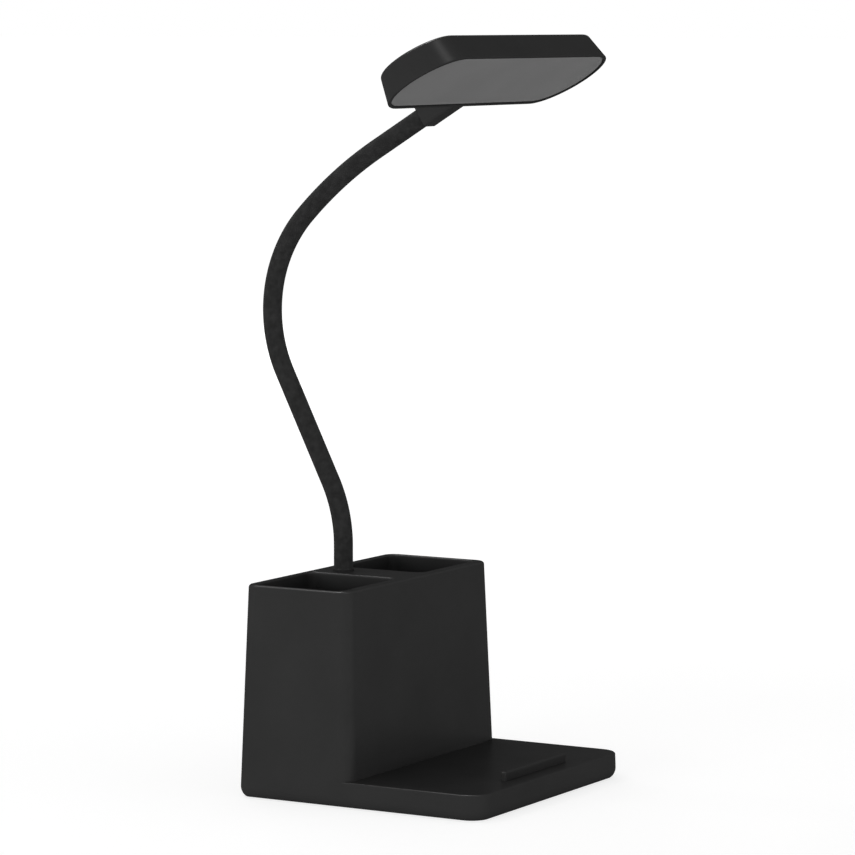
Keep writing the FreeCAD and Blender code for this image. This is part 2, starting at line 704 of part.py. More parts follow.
def neck_ferrule():
    """Flanged sleeve through the deck that grips the neck's core and lets the wires down."""
    length = DECK_THICKNESS + WASHER_THICKNESS + NUT_THICKNESS + FERRULE_TAIL
    deck = Vector(0, NECK_Y, BOX_TOP_Z)
    flange = cylinder(FERRULE_FLANGE, FERRULE_FLANGE_THICKNESS, deck)
    flange = rounded(flange, FERRULE_EDGE, level(BOX_TOP_Z + FERRULE_FLANGE_THICKNESS))
    shank = cylinder(FERRULE_SHANK, length, deck, UP * -1)
    top = deck + UP * FERRULE_FLANGE_THICKNESS
    grip = cylinder(CORE_DIAMETER + 2 * CORE_FIT, CORE_INSERT + CORE_FIT, top, UP * -1)
    wires = cylinder(WIRE_HOLE, length + FERRULE_FLANGE_THICKNESS + OVERCUT, top, UP * -1)
    return fused([flange, shank]).cut([grip, wires])


def neck_washer():
    at = Vector(0, NECK_Y, BOX_TOP_Z - DECK_THICKNESS - WASHER_THICKNESS)
    hole = cylinder(FERRULE_SHANK + 2 * FERRULE_HOLE_FIT, WASHER_THICKNESS, at)
    return cylinder(WASHER_DIAMETER, WASHER_THICKNESS, at).cut(hole)


def neck_nut():
    at = Vector(0, NECK_Y, BOX_TOP_Z - DECK_THICKNESS - WASHER_THICKNESS - NUT_THICKNESS)
    radius = NUT_ACROSS_FLATS / 2 / math.cos(math.pi / 6)
    turns = [i * math.pi / 3 for i in range(7)]
    corners = [at + Vector(math.cos(turn), math.sin(turn), 0) * radius for turn in turns]
    hexagon = Part.Face(Part.makePolygon(corners)).extrude(UP * NUT_THICKNESS)
    return hexagon.cut(cylinder(FERRULE_SHANK + 2 * NUT_FIT, NUT_THICKNESS, at))


# ---------------------------------------------------------------- light head, in its own flat frame

LED_BOARD_LENGTH = HEAD_LENGTH - 2 * LED_END_GAP
LED_BOARD_DEPTH = HEAD_DEPTH - LED_FRONT_GAP - LED_REAR_GAP
LED_BOARD_Y = (LED_FRONT_GAP - LED_REAR_GAP) / 2
LED_PITCH = (LED_BOARD_LENGTH - 2 * LED_COLUMN_INSET) / (LED_COLUMNS - 1)
LED_ROW_SPACING = LED_BOARD_DEPTH - 2 * LED_ROW_INSET
CEILING_Z = HEAD_HEIGHT - HEAD_ROOF
DIFFUSER_TOP_Z = DIFFUSER_RECESS + DIFFUSER_THICKNESS
LED_BOARD_LOW_Z = CEILING_Z - LED_BOARD_DROP - LED_BOARD_THICKNESS
LED_SEAT_Z = LED_BOARD_LOW_Z - REFLECTOR_THICKNESS
PALM_TOP_Z = CEILING_Z - PALM_DROP
PALM_Y = LED_BOARD_Y + LED_BOARD_DEPTH / 2 + PALM_GAP + PALM_DEPTH / 2


def in_place(shape):
    """Moves a shape from the head's flat frame to where the neck holds the head."""
    end, heading = neck_point(neck_length())
    tilt = Rotation(ACROSS, -90 - math.degrees(heading))
    centre = end - tilt.multVec(Vector(0, HEAD_REACH, HEAD_AXIS_Z))
    return shape.transformed(Placement(centre, tilt).toMatrix())


def led_screw_points():
    """Four screws along the board's middle, each halfway between two columns of chips."""
    outer = (LED_COLUMNS - 2) / 2 * LED_PITCH
    return [Vector(x, LED_BOARD_Y, LED_SEAT_Z) for x in (-outer, -outer / 3, outer / 3, outer)]


def palm_screw_points():
    return [Vector(side * PALM_SCREW_SPAN / 2, PALM_Y, PALM_TOP_Z - PALM_THICKNESS) for side in (-1, 1)]


def led_blocks(margin, z_low, height):
    """A block at each light-emitting chip, larger by a margin all round."""
    first = -(LED_COLUMNS - 1) / 2
    places = [((first + column) * LED_PITCH, LED_BOARD_Y + row * LED_ROW_SPACING / 2)
              for column in range(LED_COLUMNS) for row in (-1, 1)]
    return [box(LED_WIDTH + 2 * margin, LED_DEPTH + 2 * margin, height, x, y, z_low) for x, y in places]


def head_outside():
    return oblong_frustum(HEAD_LENGTH, HEAD_DEPTH, 0, HEAD_HEIGHT)


def head_cover():
    """Shallow oblong shell: a rim round the diffuser's seat, a ledge above it and bosses on its ceiling."""
    shell = rounded(head_outside(), HEAD_EDGE, level(HEAD_HEIGHT))
    shell = rounded(shell, RIM_LIP_EDGE, level(0))
    seat = slab(HEAD_LENGTH - 2 * RIM_WIDTH, HEAD_DEPTH - 2 * RIM_WIDTH, -OVERCUT, DIFFUSER_TOP_Z + OVERCUT)
    inset = 2 * (RIM_WIDTH + LEDGE_WIDTH)
    hollow = oblong_frustum(HEAD_LENGTH - inset, HEAD_DEPTH - inset, DIFFUSER_RECESS, CEILING_Z)
    bosses = [cylinder(LED_SCREW["shank"] + 2 * BOSS_WALL, LED_BOARD_DROP,
                       Vector(point.x, point.y, CEILING_Z - LED_BOARD_DROP)) for point in led_screw_points()]
    bosses += [cylinder(PALM_SCREW["shank"] + 2 * BOSS_WALL, PALM_DROP, Vector(point.x, point.y, PALM_TOP_Z))
               for point in palm_screw_points()]
    shell = fused([shell.cut([seat, hollow])] + bosses)
    holes = [pilot(LED_SCREW, point) for point in led_screw_points()]
    holes += [pilot(PALM_SCREW, point) for point in palm_screw_points()]
    return shell.cut(holes + [spigot(SPIGOT_FIT)])


def spigot(margin=0.0):
    """The bracket's neck through the head's rear wall, or the hole for it."""
    low, high = SPIGOT_LOW_Z - margin, PALM_TOP_Z + margin
    start, end = PALM_Y, HEAD_DEPTH / 2
    return box(SPIGOT_WIDTH + 2 * margin, end - start, high - low, 0, (start + end) / 2, low)


def head_bracket():
    """Socket block behind the head, with a spigot through its wall and a palm screwed to its ceiling."""
    start = HEAD_DEPTH / 2 - HEAD_HEIGHT * math.tan(math.radians(HEAD_DRAFT))
    socket = rounded_bar(BRACKET_WIDTH, BRACKET_HEIGHT, HEAD_REACH - start, BRACKET_CORNER,
                         Vector(0, start, HEAD_AXIS_Z))
    socket = rounded(socket, BRACKET_END_EDGE, lambda edge: edge.BoundBox.YMin > HEAD_REACH - SAME)
    socket = socket.cut(head_outside())
    palm = box(PALM_WIDTH, PALM_DEPTH, PALM_THICKNESS, 0, PALM_Y, PALM_TOP_Z - PALM_THICKNESS)
    bracket = fused([socket, spigot(), palm])
    mouth = Vector(0, HEAD_REACH, HEAD_AXIS_Z)
    inwards = REARWARD * -1
    bore = cylinder(NECK_DIAMETER + 2 * BRACKET_BORE_FIT, NECK_INSERT + BRACKET_BORE_FIT, mouth, inwards)
    wires = cylinder(WIRE_HOLE, HEAD_REACH - PALM_Y + PALM_DEPTH, mouth, inwards)
    holes = [clearance_hole(PALM_SCREW, point, PALM_THICKNESS) for point in palm_screw_points()]
    return bracket.cut([bore, wires] + holes)


def diffuser():
    margin = 2 * (RIM_WIDTH + DIFFUSER_GAP)
    sheet = slab(HEAD_LENGTH - margin, HEAD_DEPTH - margin, DIFFUSER_RECESS, DIFFUSER_THICKNESS)
    return rounded(sheet, DIFFUSER_GAP, level(DIFFUSER_RECESS))


def led_board():
    board = slab(LED_BOARD_LENGTH, LED_BOARD_DEPTH, LED_BOARD_LOW_Z, LED_BOARD_THICKNESS, LED_BOARD_Y)
    return board.cut([clearance_hole(LED_SCREW, at, 2 * LED_BOARD_THICKNESS) for at in led_screw_points()])


def reflector():
    """White sheet under the board, with a window round each chip."""
    sheet = slab(LED_BOARD_LENGTH, LED_BOARD_DEPTH, LED_SEAT_Z, REFLECTOR_THICKNESS, LED_BOARD_Y)
    holes = led_blocks(REFLECTOR_WINDOW_GAP, LED_SEAT_Z, REFLECTOR_THICKNESS)
    holes += [clearance_hole(LED_SCREW, point, REFLECTOR_THICKNESS) for point in led_screw_points()]
    return sheet.cut(holes)


def led_chips():
    return Part.makeCompound(led_blocks(0, LED_BOARD_LOW_Z - LED_HEIGHT, LED_HEIGHT))


# ---------------------------------------------------------------- the whole lamp

def all_parts():
    """Every node of the lamp by name."""
    parts = {
        "base_housing": base_housing(),
        "bottom_cover": bottom_cover(),
        "cover_screws": screws(LARGE_SCREW, cover_screw_points(), slotted=True),
        "rubber_feet": rubber_feet(),
        "counterweight": counterweight(),
        "battery_cell": battery_cell(),
        "control_board": control_board(),
        "board_screws": screws(SMALL_SCREW, board_screw_points()),
        "charging_socket": charging_socket(),
        "socket_tongue": socket_tongue(),
        "switch_body": switch_body(),
        "switch_plunger": switch_plunger(),
        "power_button": power_button(),
        "neck_ferrule": neck_ferrule(),
        "neck_washer": neck_washer(),
        "neck_nut": neck_nut(),
    }
    for number, link in enumerate(neck_links(), 1):
        parts[f"neck_link_{number}"] = link
    head = {
        "head_cover": head_cover(),
        "head_bracket": head_bracket(),
        "bracket_screws": screws(PALM_SCREW, palm_screw_points()),
        "led_board": led_board(),
        "led_board_screws": screws(LED_SCREW, led_screw_points()),
        "led_chips": led_chips(),
        "reflector": reflector(),
        "diffuser": diffuser(),
    }
    parts.update({name: in_place(shape) for name, shape in head.items()})
    return parts


os.makedirs("parts", exist_ok=True)
for name, shape in all_parts().items():
    shape.exportStep(f"parts/{name}.step")
    print(name, len(shape.Solids), round(shape.Volume, 1), shape.isValid())
for number, distance in enumerate(joint_distances(), 1):
    point, heading = neck_point(distance)
    print("neck joint", number, [round(value, 3) for value in point], round(math.degrees(heading), 3))
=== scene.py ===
import json
import math

import bpy
import numpy as np
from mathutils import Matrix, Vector


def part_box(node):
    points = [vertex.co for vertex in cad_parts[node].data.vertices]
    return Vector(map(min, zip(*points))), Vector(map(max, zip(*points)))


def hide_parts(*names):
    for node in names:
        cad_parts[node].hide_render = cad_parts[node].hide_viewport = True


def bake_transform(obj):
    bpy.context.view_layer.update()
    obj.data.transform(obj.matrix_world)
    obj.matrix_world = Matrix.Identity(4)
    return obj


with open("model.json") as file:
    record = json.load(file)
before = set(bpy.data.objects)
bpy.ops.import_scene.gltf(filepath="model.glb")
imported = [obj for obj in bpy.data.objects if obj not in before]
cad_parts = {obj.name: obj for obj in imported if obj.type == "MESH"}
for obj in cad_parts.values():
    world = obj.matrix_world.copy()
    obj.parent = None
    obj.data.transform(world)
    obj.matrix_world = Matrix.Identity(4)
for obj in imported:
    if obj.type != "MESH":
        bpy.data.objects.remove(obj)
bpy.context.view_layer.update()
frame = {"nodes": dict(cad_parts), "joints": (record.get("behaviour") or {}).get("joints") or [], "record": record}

# Metres, in the part's own frame: X to the lamp's right, Y to its rear, Z up from the desk.
MM = 0.001
FULL_TURN = 2 * math.pi


# ---------------------------------------------------------------- shader nodes

def add(tree, kind, inputs=None, **settings):
    """Adds a shader node; an input is a plain value, or a socket to link."""
    node = tree.nodes.new("ShaderNode" + kind)
    for name, value in settings.items():
        setattr(node, name, value)
    for name, value in (inputs or {}).items():
        if isinstance(value, bpy.types.NodeSocket):
            tree.links.new(value, node.inputs[name])
        else:
            node.inputs[name].default_value = value
    return node


def calculate(tree, operation, *values):
    """Result of one step of arithmetic on sockets or plain numbers."""
    return add(tree, "Math", dict(enumerate(values)), operation=operation).outputs[0]


def split(tree, vector):
    """The x, y and z of a vector."""
    return add(tree, "SeparateXYZ", {0: vector}).outputs


def length_of(tree, vector):
    """The length of a vector."""
    return add(tree, "VectorMath", {0: vector}, operation="LENGTH").outputs["Value"]


def noise(tree, place, wave, detail=2.0, roughness=0.5):
    """Noise between nought and one, with waves of the given length in metres."""
    settings = {"Vector": place, "Scale": 1 / wave, "Detail": detail, "Roughness": roughness}
    return add(tree, "TexNoise", settings).outputs[0]


def spread(tree, value, low, high, start=0.3, end=0.7):
    """Carries the range from start to end, by default the middle of a noise, to that from low to high."""
    settings = {"Value": value, "From Min": start, "From Max": end, "To Min": low, "To Max": high}
    return add(tree, "MapRange", settings).outputs[0]


def grey(level):
    """Colour with its red, green and blue alike."""
    return (level,) * 3


def opaque(colour):
    """Colour as a socket's value; a socket stays as it is."""
    return colour if isinstance(colour, bpy.types.NodeSocket) else (*colour, 1)


def between(tree, share, first, second):
    """Colour that goes from the first to the second as the share goes from nought to one."""
    mix = add(tree, "Mix", {0: share, 6: opaque(first), 7: opaque(second)}, data_type="RGBA")
    return mix.outputs[2]


def mix_shaders(tree, share, first, second):
    """Shader that goes from the first to the second as the share goes from nought to one."""
    return add(tree, "MixShader", {0: share, 1: first, 2: second}).outputs[0]


# ---------------------------------------------------------------- camera

CAMERA_PLACE = Vector((-1.6005, -0.940, 0.34413))
CAMERA_YAW = math.radians(30.144)
CAMERA_DIP = math.radians(5.615)
SENSOR_WIDTH = 36.0
FOCAL_PIXELS = 4162.95
FRAME_PIXELS = 855


def make_camera():
    """Camera on the left in front of the lamp, level but for a small dip, with no shift and no roll."""
    data = bpy.data.cameras.new("studio_camera")
    data.sensor_width = SENSOR_WIDTH
    data.lens = FOCAL_PIXELS / FRAME_PIXELS * SENSOR_WIDTH
    camera = bpy.data.objects.new("studio_camera", data)
    bpy.context.scene.collection.objects.link(camera)
    level = math.cos(CAMERA_DIP)
    gaze = Vector((math.cos(CAMERA_YAW) * level, math.sin(CAMERA_YAW) * level, -math.sin(CAMERA_DIP)))
    camera.location = CAMERA_PLACE
    camera.rotation_mode = "QUATERNION"
    camera.rotation_quaternion = gaze.to_track_quat("-Z", "Y")
    bpy.context.scene.camera = camera


# ---------------------------------------------------------------- floor and light

WHITE = grey(1)
AMBIENT = 0.44
FLOOR_SEEN = grey(0.4)
FLOOR_BOUNCE = grey(0.8)
FLOOR_REACH = 60.0
# The seen floor's own glow, near the lamp and far from it, and the distances between which it grows.
FLOOR_GLOW = (0.753, 0.87)
GLOW_DISTANCES = (0.3, 1.6)
LAMP_AIM = Vector((0, 0, 0.15))
# Name, place, width, height and power, then whether it lights surfaces and whether it shows in gloss.
LAMPS = (
    ("side_lamp", (-2.56, 0.36, 0.36), 1.6, 0.4, 34, True, False),
    ("front_lamp", (0.36, -2.57, 0.2), 1.6, 0.4, 18, True, False),
    ("rear_top_lamp", (-0.24, 1.25, 2.35), 0.3, 0.3, 4.5, True, False),
    ("rear_fill", (1.7, 2.3, 0.5), 1.6, 1.0, 24, True, False),
    ("edge_card", (0.25, 1.1, 2.55), 2.4, 1.0, 72, False, True),
    ("corner_card", (0.53, 0.7, 2.63), 0.5, 0.5, 50, False, True),
    ("head_card", (-0.05, -1.1, 2.75), 0.7, 0.7, 12, False, True),
)


def seen_directly(tree):
    """One for rays from the camera and for those that gloss or glass sends on, and nought for the rest."""
    path = add(tree, "LightPath").outputs
    seen = calculate(tree, "MAXIMUM", path["Is Camera Ray"], path["Is Glossy Ray"])
    return calculate(tree, "MAXIMUM", seen, path["Is Transmission Ray"])


def make_world():
    """Surroundings that light the lamp dimly, and look white where they are seen directly."""
    world = bpy.data.worlds.new("studio")
    world.use_nodes = True
    tree = world.node_tree
    tree.nodes.clear()
    dim = add(tree, "Background", {"Color": opaque(WHITE), "Strength": AMBIENT}).outputs[0]
    white = add(tree, "Background", {"Color": opaque(WHITE), "Strength": 1.0}).outputs[0]
    add(tree, "OutputWorld", {"Surface": mix_shaders(tree, seen_directly(tree), dim, white)})
    bpy.context.scene.world = world


def pale_floor():
    """Pale matt floor that keeps a soft shadow.

    Where it is seen directly it has a glow of its own, which grows with the distance from the lamp and
    carries it into the white surroundings. The light that it throws back on the lamp is a plain matt
    floor's. It is clear from below, so that the underside of the base can be looked at."""
    material = bpy.data.materials.new("pale_floor")
    material.use_nodes = True
    tree = material.node_tree
    tree.nodes.clear()
    pale = add(tree, "BsdfDiffuse", {"Color": opaque(FLOOR_SEEN)}).outputs[0]
    bounce = add(tree, "BsdfDiffuse", {"Color": opaque(FLOOR_BOUNCE)}).outputs[0]
    distance = length_of(tree, add(tree, "TexCoord").outputs["Object"])
    glow = spread(tree, distance, *FLOOR_GLOW, *GLOW_DISTANCES)
    lift = add(tree, "Emission", {"Color": opaque(WHITE), "Strength": glow}).outputs[0]
    seen = add(tree, "AddShader", {0: pale, 1: lift}).outputs[0]
    above = mix_shaders(tree, seen_directly(tree), bounce, seen)
    clear = add(tree, "BsdfTransparent").outputs[0]
    underneath = add(tree, "NewGeometry").outputs["Backfacing"]
    add(tree, "OutputMaterial", {"Surface": mix_shaders(tree, underneath, above, clear)})
    return material


def make_floor():
    """Level square floor at desk height, wide enough to reach the horizon."""
    mesh = bpy.data.meshes.new("studio_floor")
    r = FLOOR_REACH
    mesh.from_pydata([(-r, -r, 0), (r, -r, 0), (r, r, 0), (-r, r, 0)], [], [(0, 1, 2, 3)])
    mesh.materials.append(pale_floor())
    floor = bpy.data.objects.new("studio_floor", mesh)
    bpy.context.scene.collection.objects.link(floor)


def make_lamps():
    """Wide soft lamps that light the mouldings, and cards that only put a glint on their edges."""
    for name, place, width, height, power, lights, shines in LAMPS:
        data = bpy.data.lights.new(name, "AREA")
        data.shape = "RECTANGLE"
        data.size = width
        data.size_y = height
        data.energy = power
        lamp = bpy.data.objects.new(name, data)
        bpy.context.scene.collection.objects.link(lamp)
        lamp.location = place
        lamp.rotation_mode = "QUATERNION"
        lamp.rotation_quaternion = (LAMP_AIM - Vector(place)).to_track_quat("-Z", "Y")
        lamp.visible_diffuse = lights
        lamp.visible_glossy = shines


# ---------------------------------------------------------------- moulded plastic and rubber

# Lengths of the waves in the skins' patterns, and depths of their bumps.
CLOUD_WAVE = 30 * MM
RIPPLE_WAVE = 6 * MM
RIPPLE_DEPTH = 0.01 * MM
GRAIN_WAVE = 0.35 * MM
GRAIN_DEPTH = 0.02 * MM
SMOOTH_DEPTH = 0.002 * MM
POLISHED_DEPTH = 0.001 * MM
PEBBLE_WAVE = 0.5 * MM
PEBBLE_DEPTH = 0.03 * MM
RUBBER_PATCH = 12 * MM
SLEEVE_PATCH = 3 * MM
# How far the roughness varies to each side with each pattern.
CLOUD_SHEEN = 0.03
GRAIN_SHEEN = 0.04
RUBBER_SHEEN = 0.05
# Strength of the gloss of bare rubber, and of the thin hard skin that a moulding has.
RUBBER_GLOSS = 0.05
SKIN_GLEAM = 0.02
SKIN_IOR = 4.0
SKIN_ROUGHNESS = 0.3
# Rubbed edges: how much paler, smoother and brighter they are, and how little the least rubbed patches.
EDGE_PALENESS = 1.03
EDGE_POLISH = 0.2
EDGE_GLEAM = 1.5
LEAST_RUBBED = 0.6
# Values of the edge product between which wear sets in, and the heights between which it grows to its full.
EDGE_ONSET = (0.08, 0.22)
WORN_HEIGHTS = (20 * MM, 80 * MM)
LEAST_WEAR = 0.2
# The head's turn about X.
HEAD_TURN = math.radians(-31.3)


def begin(name):
    """A new material with its tree, its shader and the piece's own coordinates."""
    material = bpy.data.materials.new(name)
    material.use_nodes = True
    tree = material.node_tree
    shader = tree.nodes["Principled BSDF"]
    place = add(tree, "TexCoord").outputs["Object"]
    return material, tree, shader, place


def bumps(tree, heights, shader):
    """Raises a surface by several height patterns, each with its depth in metres."""
    normal = None
    for height, depth in heights:
        inputs = {"Height": height, "Distance": depth, "Strength": 1.0}
        if normal:
            inputs["Normal"] = normal
        normal = add(tree, "Bump", inputs).outputs[0]
    tree.links.new(normal, shader.inputs["Normal"])


def unturned(tree, vector, turn, middle=(0, 0, 0)):
    """A vector as it stands in a frame that is turned about X and set at the given middle."""
    settings = {"Vector": vector, "Location": middle, "Rotation": (turn, 0, 0)}
    return add(tree, "Mapping", settings, vector_type="TEXTURE").outputs[0]


def worn_edges(tree, turn, place):
    """One on the rounded edges under a piece's upper faces, and nought on those faces and on its sides.

    With z the upward part of the direction a surface faces, in the piece's frame turned about X, the
    product z z (1 - z z) is greatest halfway round such an edge. Low edges, which no hand comes to, are
    worn less: their share grows with the height, from the least one to the whole."""
    facing = unturned(tree, add(tree, "TexCoord").outputs["Normal"], turn)
    up = calculate(tree, "MAXIMUM", split(tree, facing)[2], 0.0)
    square = calculate(tree, "MULTIPLY", up, up)
    rest = calculate(tree, "SUBTRACT", 1.0, square)
    product = calculate(tree, "MULTIPLY", square, rest)
    touched = spread(tree, split(tree, place)[2], LEAST_WEAR, 1, *WORN_HEIGHTS)
    edge = spread(tree, product, 0, 1, *EDGE_ONSET)
    return calculate(tree, "MULTIPLY", edge, touched)


def moulded_plastic(name, dark, light, rough, depth=GRAIN_DEPTH, turn=0.0):
    """Moulded plastic: a spark-eroded grain, faint flow clouds in its colour, gloss that varies with them,
    and edges that handling has rubbed a little paler and smoother."""
    material, tree, shader, place = begin(name)
    clouds = noise(tree, place, CLOUD_WAVE, detail=3)
    grain = noise(tree, place, GRAIN_WAVE, roughness=0.6)
    ripples = noise(tree, place, RIPPLE_WAVE)
    patches = spread(tree, ripples, LEAST_RUBBED, 1)
    rubbed = calculate(tree, "MULTIPLY", worn_edges(tree, turn, place), patches)
    colour = between(tree, spread(tree, clouds, 0, 1), dark, light)
    paler = [EDGE_PALENESS * level for level in light]
    tree.links.new(between(tree, rubbed, colour, paler), shader.inputs["Base Color"])
    fine = spread(tree, grain, -GRAIN_SHEEN, GRAIN_SHEEN)
    broad = spread(tree, clouds, rough - CLOUD_SHEEN, rough + CLOUD_SHEEN)
    unrubbed = calculate(tree, "ADD", fine, broad)
    roughness = calculate(tree, "MULTIPLY_ADD", rubbed, -EDGE_POLISH, unrubbed)
    tree.links.new(roughness, shader.inputs["Roughness"])
    shader.inputs["Specular IOR Level"].default_value = 0.0
    gleam = spread(tree, rubbed, SKIN_GLEAM, SKIN_GLEAM * EDGE_GLEAM, 0, 1)
    tree.links.new(gleam, shader.inputs["Coat Weight"])
    shader.inputs["Coat IOR"].default_value = SKIN_IOR
    shader.inputs["Coat Roughness"].default_value = SKIN_ROUGHNESS
    bumps(tree, [(ripples, RIPPLE_DEPTH), (grain, depth)], shader)
    return material


def rubber(name, dark, light, rough, patch=RUBBER_PATCH):
    """Matt rubber: a fine pebbled skin, with paler and darker patches in its colour."""
    material, tree, shader, place = begin(name)
    pebbles = noise(tree, place, PEBBLE_WAVE, detail=3, roughness=0.6)
    clouds = noise(tree, place, patch)
    tree.links.new(between(tree, spread(tree, clouds, 0, 1), dark, light), shader.inputs["Base Color"])
    sheen = spread(tree, pebbles, rough - RUBBER_SHEEN, rough + RUBBER_SHEEN)
    tree.links.new(sheen, shader.inputs["Roughness"])
    shader.inputs["Specular IOR Level"].default_value = RUBBER_GLOSS
    bumps(tree, [(pebbles, PEBBLE_DEPTH)], shader)
    return material


# ---------------------------------------------------------------- frosted diffuser

# Middle of the sheet's face, half its straight length, half its depth and the width of the band along its edge
# that is painted paler, a painted light as if light came through the edge.
SHEET_MIDDLE = (0, -47.28 * MM, 316.96 * MM)
SHEET_REACH = 58.85 * MM
SHEET_RADIUS = 19.8 * MM
PAINTED_RIM_WIDTH = 2.5 * MM
MILK_WAVE = 25 * MM
MILK = (grey(0.191), grey(0.205))
# Colour of the painted light along the sheet's edge.
RIM_PAINTED_LIGHT = grey(0.230)
MILK_ROUGHNESS = (0.84, 0.9)
MILK_GLOSS = 0.05
STIPPLE_WAVE = 0.8 * MM
STIPPLE_DEPTH = 0.01 * MM


def frosted_sheet():
    """Milky diffuser sheet: a matt face with a fine stipple and a little unevenness in its milk.

    Along its edge it is painted paler, a painted light as if light came through the sheet's edge: the distance
    from the sheet's middle line, which is straight between its two round ends, rises there to half the sheet's
    depth."""
    material, tree, shader, place = begin("frosted_diffuser")
    stipple = add(tree, "TexVoronoi", {"Vector": place, "Scale": 1 / STIPPLE_WAVE}).outputs["Distance"]
    clouds = noise(tree, place, MILK_WAVE)
    along, aside, _ = split(tree, unturned(tree, place, HEAD_TURN, SHEET_MIDDLE))
    past = calculate(tree, "SUBTRACT", calculate(tree, "ABSOLUTE", along), SHEET_REACH)
    past = calculate(tree, "MAXIMUM", past, 0.0)
    distance = length_of(tree, add(tree, "CombineXYZ", {0: past, 1: aside}).outputs[0])
    # Share of the painted edge light: nought inside the band, one at the sheet's edge.
    painted_rim_light = spread(tree, distance, 0, 1, SHEET_RADIUS - PAINTED_RIM_WIDTH, SHEET_RADIUS)
    milk = between(tree, spread(tree, clouds, 0, 1), *MILK)
    # The paler edge colour is painted light, as if light came through the sheet's edge.
    tree.links.new(between(tree, painted_rim_light, milk, RIM_PAINTED_LIGHT), shader.inputs["Base Color"])
    tree.links.new(spread(tree, clouds, *MILK_ROUGHNESS), shader.inputs["Roughness"])
    shader.inputs["Specular IOR Level"].default_value = MILK_GLOSS
    bumps(tree, [(stipple, STIPPLE_DEPTH)], shader)
    return material


# ---------------------------------------------------------------- metal, board and light chips

SCRATCH_WAVE = 0.4 * MM
SCRATCH_SQUEEZE = 12
SCRATCH_DEPTH = 0.003 * MM
SCRATCH_SHEEN = 0.08
METAL_CLOUD_WAVE = 5 * MM
ROLLED_WAVE = 0.8 * MM
LACQUER_GREEN = (0.012, 0.085, 0.035)
TRACK_GREEN = (0.03, 0.17, 0.07)
LACQUER_WAVE = 3 * MM
LACQUER_ROUGHNESS = (0.22, 0.34)
# The tracks run round blocks; their width and the blocks' length and height are shares of one length.
TRACK_BLOCK = 9 * MM
TRACK_WIDTH = 0.04
BLOCK_LENGTH = 0.9
BLOCK_HEIGHT = 0.3
TRACK_DEPTH = 0.03 * MM
# A contact fills half of its pitch, and its sides rise between two shares of it; its ends rise as softly.
CONTACT_PITCH = 0.5 * MM
CONTACT_SIDES = (0.23, 0.27)
CONTACT_END = 0.02 * MM
# How far the row of contacts reaches to each side of the tongue's middle.
CONTACT_REACH = 3.0 * MM
CONTACT_DEPTH = 0.02 * MM
CONTACT_ROUGHNESS = (0.24, 0.34)
BARE_TIP = 0.6 * MM
TONGUE_BLACK = grey(0.014)
GOLD_WAVE = 0.8 * MM
GOLD = ((0.68, 0.45, 0.14), (0.76, 0.53, 0.19))
PHOSPHOR = ((0.86, 0.62, 0.10), (0.92, 0.72, 0.18))
PHOSPHOR_WAVE = 0.6 * MM
PHOSPHOR_DEPTH = 0.01 * MM
PHOSPHOR_ROUGHNESS = (0.18, 0.3)


def brushed_metal(name, dark, light, rough, wave=SCRATCH_WAVE):
    """Metal with fine parallel scratches, made from noise that is squeezed across them."""
    material, tree, shader, place = begin(name)
    squeezed = add(tree, "Mapping", {"Vector": place, "Scale": (1, SCRATCH_SQUEEZE, 1)}).outputs[0]
    scratches = noise(tree, squeezed, wave * SCRATCH_SQUEEZE, detail=3, roughness=0.65)
    clouds = noise(tree, place, METAL_CLOUD_WAVE)
    tree.links.new(between(tree, spread(tree, clouds, 0, 1), dark, light), shader.inputs["Base Color"])
    sheen = spread(tree, scratches, rough - SCRATCH_SHEEN, rough + SCRATCH_SHEEN)
    tree.links.new(sheen, shader.inputs["Roughness"])
    shader.inputs["Metallic"].default_value = 1.0
    bumps(tree, [(scratches, SCRATCH_DEPTH)], shader)
    return material


def circuit_lacquer():
    """Green lacquer with the raised copper tracks showing through as lighter straight lines."""
    material, tree, shader, place = begin("circuit_lacquer")
    blocks = {"Vector": place, "Scale": 1 / TRACK_BLOCK, "Mortar Size": TRACK_WIDTH,
              "Brick Width": BLOCK_LENGTH, "Row Height": BLOCK_HEIGHT}
    tracks = add(tree, "TexBrick", blocks).outputs["Fac"]
    tree.links.new(between(tree, tracks, LACQUER_GREEN, TRACK_GREEN), shader.inputs["Base Color"])
    sheen = spread(tree, noise(tree, place, LACQUER_WAVE), *LACQUER_ROUGHNESS)
    tree.links.new(sheen, shader.inputs["Roughness"])
    bumps(tree, [(tracks, TRACK_DEPTH)], shader)
    return material


def contact_tongue():
    """Glossy black moulding with a row of gold contacts on each of its broad faces.

    With x from the tongue's middle, a contact fills the half of each pitch that is farther than a quarter
    of the pitch from a whole number of pitches, out to the row's ends and up to the bare tip."""
    material, tree, shader, place = begin("gold_contact_tongue")
    low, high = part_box("socket_tongue")
    across, along, _ = split(tree, place)
    x = calculate(tree, "SUBTRACT", across, (low.x + high.x) / 2)
    phase = calculate(tree, "PINGPONG", x, CONTACT_PITCH / 2)
    strip = spread(tree, phase, 0, 1, *(CONTACT_PITCH * side for side in CONTACT_SIDES))
    out = calculate(tree, "ABSOLUTE", x)
    row = spread(tree, out, 1, 0, CONTACT_REACH, CONTACT_REACH + CONTACT_END)
    bare = high.y - BARE_TIP
    inside = calculate(tree, "MULTIPLY", row, spread(tree, along, 1, 0, bare, bare + CONTACT_END))
    gold = calculate(tree, "MULTIPLY", strip, inside)
    clouds = noise(tree, place, GOLD_WAVE)
    metal = between(tree, spread(tree, clouds, 0, 1), *GOLD)
    tree.links.new(between(tree, gold, TONGUE_BLACK, metal), shader.inputs["Base Color"])
    tree.links.new(gold, shader.inputs["Metallic"])
    tree.links.new(spread(tree, clouds, *CONTACT_ROUGHNESS), shader.inputs["Roughness"])
    bumps(tree, [(gold, CONTACT_DEPTH)], shader)
    return material


